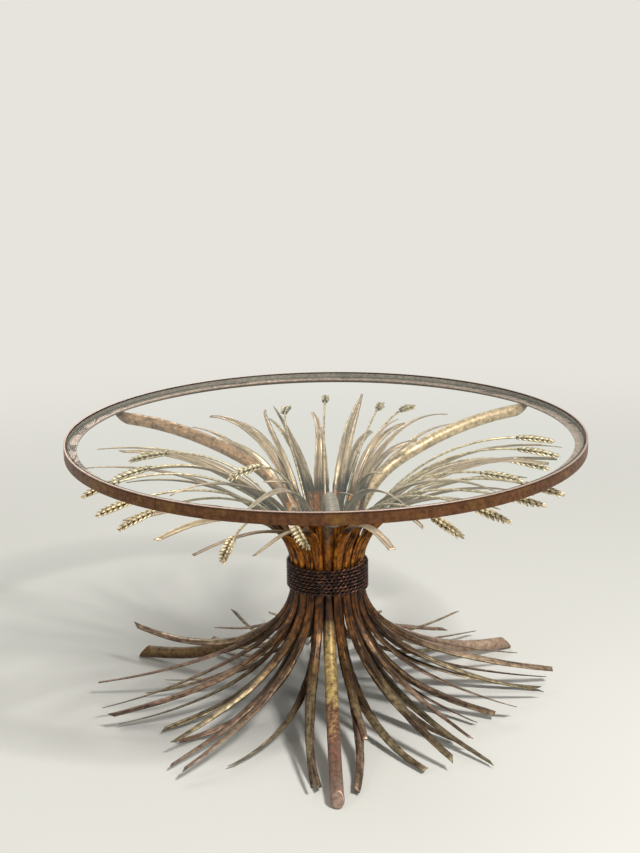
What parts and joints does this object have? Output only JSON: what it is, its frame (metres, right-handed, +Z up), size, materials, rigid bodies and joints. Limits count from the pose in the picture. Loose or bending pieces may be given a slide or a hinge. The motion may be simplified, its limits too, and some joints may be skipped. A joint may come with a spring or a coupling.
{
  "type": "wheat sheaf coffee table",
  "caption": "Round glass coffee table whose gilt metal base is a bound sheaf of wheat: bent posts, creased leaves and ears spread below the rim and out over the floor.",
  "frame": {"origin": "on the floor, on the axis of the round top", "axes": "+Z up, -Y to the front, where one post comes forward 2 degrees to the right of the middle, +X to the right"},
  "size_m": [0.7719, 0.772, 0.43],
  "materials": {
    "clear_glass": "clear float glass with a ground edge",
    "gilt_rim": "rolled steel, gilded, worn brown",
    "gilt_post": "steel tube, gilded, rubbed to a rust red near the floor",
    "gilt_outer_leaf": "creased steel sheet, gilded under a dark brown patina",
    "gilt_inner_leaf": "creased steel sheet, gilded, less worn",
    "gilt_wheat": "stamped ears on steel rods, gilded",
    "rope_wire": "twisted iron wire, dark oxblood patina",
    "blackened_steel": "bare steel strip, blackened by brazing"
  },
  "bodies": {
    "root": {"rim_band": "gilt_rim", "post_front": "gilt_post", "post_right": "gilt_post", "post_left": "gilt_post", "toe_plates": "gilt_post", "waist_hoop": "blackened_steel", "binding_rope": "rope_wire", "outer_leaf_01": "gilt_outer_leaf", "outer_leaf_02": "gilt_outer_leaf", "outer_leaf_03": "gilt_outer_leaf", "outer_leaf_04": "gilt_outer_leaf", "outer_leaf_05": "gilt_outer_leaf", "outer_leaf_06": "gilt_outer_leaf", "outer_leaf_07": "gilt_outer_leaf", "outer_leaf_08": "gilt_outer_leaf", "outer_leaf_09": "gilt_outer_leaf", "outer_leaf_10": "gilt_outer_leaf", "outer_leaf_11": "gilt_outer_leaf", "outer_leaf_12": "gilt_outer_leaf", "outer_leaf_13": "gilt_outer_leaf", "outer_leaf_14": "gilt_outer_leaf", "outer_leaf_15": "gilt_outer_leaf", "outer_leaf_16": "gilt_outer_leaf", "outer_leaf_17": "gilt_outer_leaf", "outer_leaf_18": "gilt_outer_leaf", "outer_leaf_19": "gilt_outer_leaf", "outer_leaf_20": "gilt_outer_leaf", "outer_leaf_21": "gilt_outer_leaf", "inner_leaf_01": "gilt_inner_leaf", "inner_leaf_02": "gilt_inner_leaf", "inner_leaf_03": "gilt_inner_leaf", "inner_leaf_04": "gilt_inner_leaf", "inner_leaf_05": "gilt_inner_leaf", "inner_leaf_06": "gilt_inner_leaf", "inner_leaf_07": "gilt_inner_leaf", "inner_leaf_08": "gilt_inner_leaf", "inner_leaf_09": "gilt_inner_leaf", "inner_leaf_10": "gilt_inner_leaf", "inner_leaf_11": "gilt_inner_leaf", "inner_leaf_12": "gilt_inner_leaf", "wheat_stalk_01": "gilt_wheat", "wheat_stalk_02": "gilt_wheat", "wheat_stalk_03": "gilt_wheat", "wheat_stalk_04": "gilt_wheat", "wheat_stalk_05": "gilt_wheat", "wheat_stalk_06": "gilt_wheat", "wheat_stalk_07": "gilt_wheat", "wheat_stalk_08": "gilt_wheat", "wheat_stalk_09": "gilt_wheat", "wheat_stalk_10": "gilt_wheat", "wheat_stalk_11": "gilt_wheat", "wheat_stalk_12": "gilt_wheat", "wheat_stalk_13": "gilt_wheat", "wheat_stalk_14": "gilt_wheat", "wheat_stalk_15": "gilt_wheat", "wheat_stalk_16": "gilt_wheat", "centre_leaves": "gilt_inner_leaf", "skirt_leaves": "gilt_inner_leaf", "upright_stalks": "gilt_wheat"},
    "glass": {"glass_top": "clear_glass"}
  },
  "joints": [
    {"name": "glass_lift", "type": "slide", "parent": "root", "child": "glass", "axis": [0, 0, 1], "range_m": [0, 0.05]}
  ]
}
